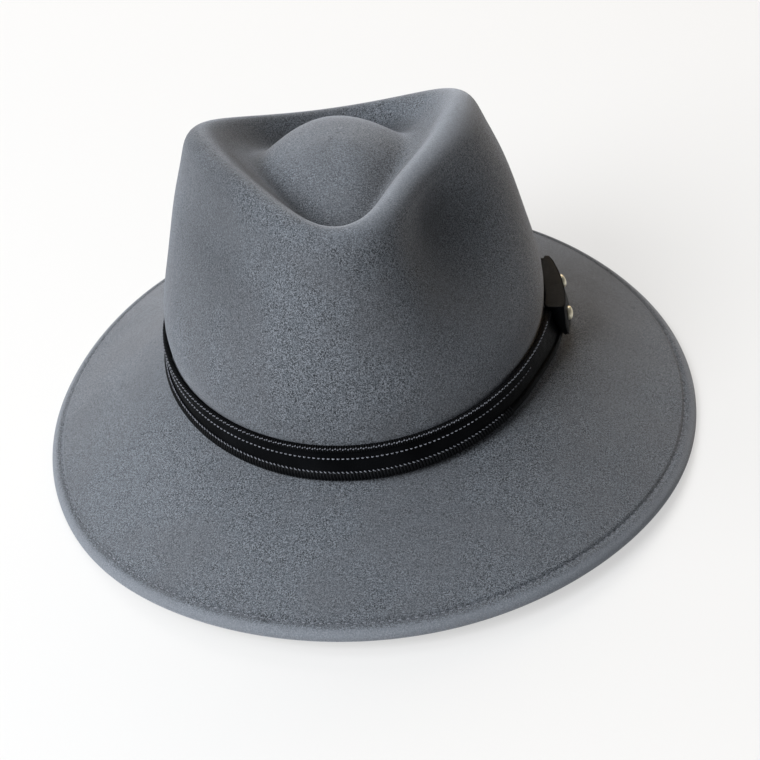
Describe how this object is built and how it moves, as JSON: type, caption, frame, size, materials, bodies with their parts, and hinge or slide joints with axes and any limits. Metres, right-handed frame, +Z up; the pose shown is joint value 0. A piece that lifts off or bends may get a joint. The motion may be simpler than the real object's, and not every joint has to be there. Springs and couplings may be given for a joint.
{
  "type": "felt hat",
  "caption": "Soft felt hat with a pinched teardrop crown, a sloping brim with a welted edge, and a leather band closed by a riveted side tab.",
  "frame": {"origin": "on the surface the hat stands on, under the middle of the brim", "axes": "+Z up, -Y the hat's front, +X the wearer's left, where the tab is"},
  "size_m": [0.2946, 0.337, 0.145],
  "materials": {
    "felt": "soft brushed grey felt",
    "band_leather": "smooth black, low sheen",
    "tab_leather": "smooth black, low sheen",
    "rivet_metal": "polished pale brass"
  },
  "bodies": {
    "root": {"felt_body": "felt", "hat_band": "band_leather", "side_tab": "tab_leather", "rivet_front": "rivet_metal", "rivet_rear": "rivet_metal"}
  },
  "joints": []
}
